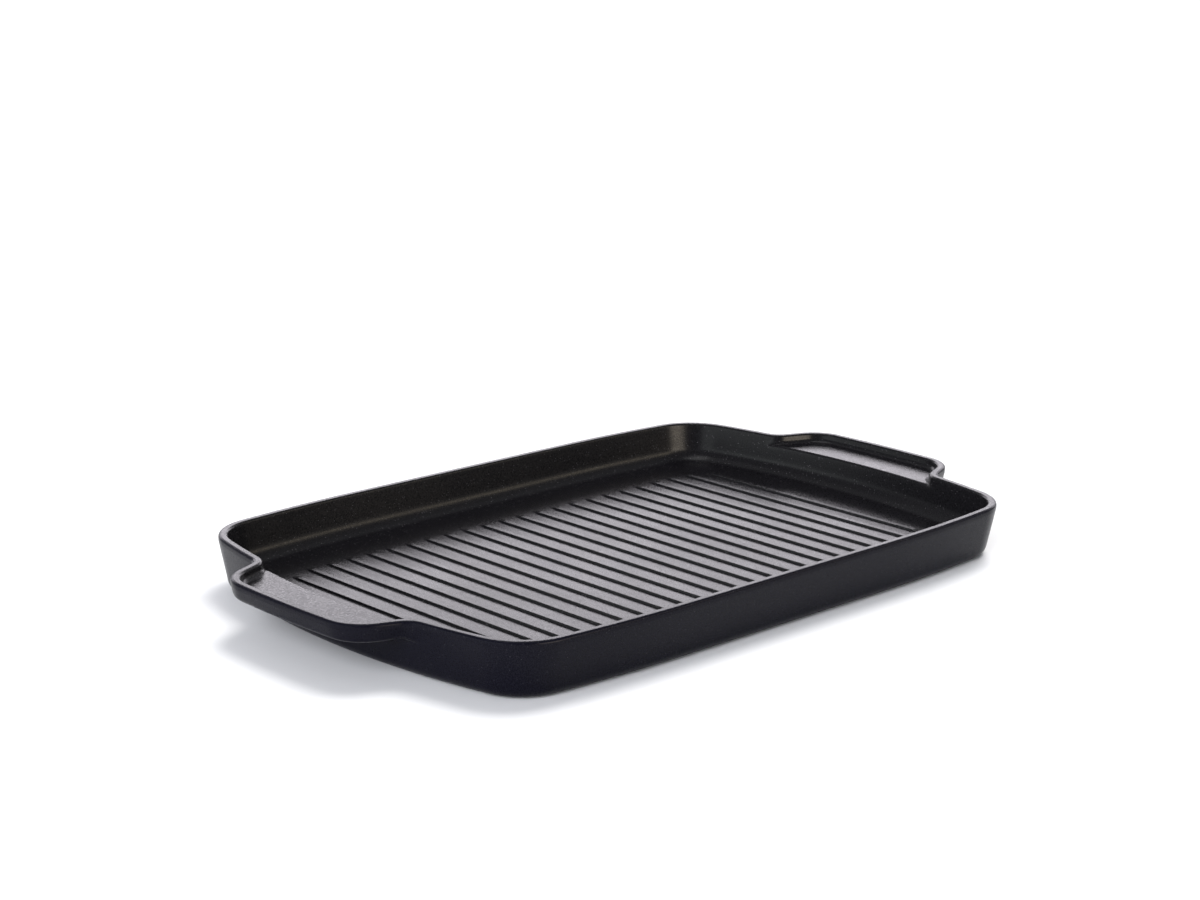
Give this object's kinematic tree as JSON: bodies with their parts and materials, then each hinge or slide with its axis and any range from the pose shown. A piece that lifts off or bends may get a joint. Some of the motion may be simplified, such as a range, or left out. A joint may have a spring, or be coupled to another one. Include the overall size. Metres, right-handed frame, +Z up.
{
  "type": "grill pan",
  "caption": "Long low cast pan with raised ribs across its floor, flared walls, a thick rim and a shallow tray-shaped handle at each end.",
  "frame": {"origin": "centre of the flat underside, on the surface that the pan stands on", "axes": "+X along the pan towards one handle, +Y across it, +Z up out of the open top"},
  "size_m": [0.418, 0.244, 0.028],
  "materials": {
    "coated_casting": "fine-grained semi-gloss non-stick coat, near black",
    "bare_steel": "satin stainless steel"
  },
  "bodies": {
    "root": {"pan_body": "coated_casting", "induction_plate": "bare_steel"}
  },
  "joints": []
}
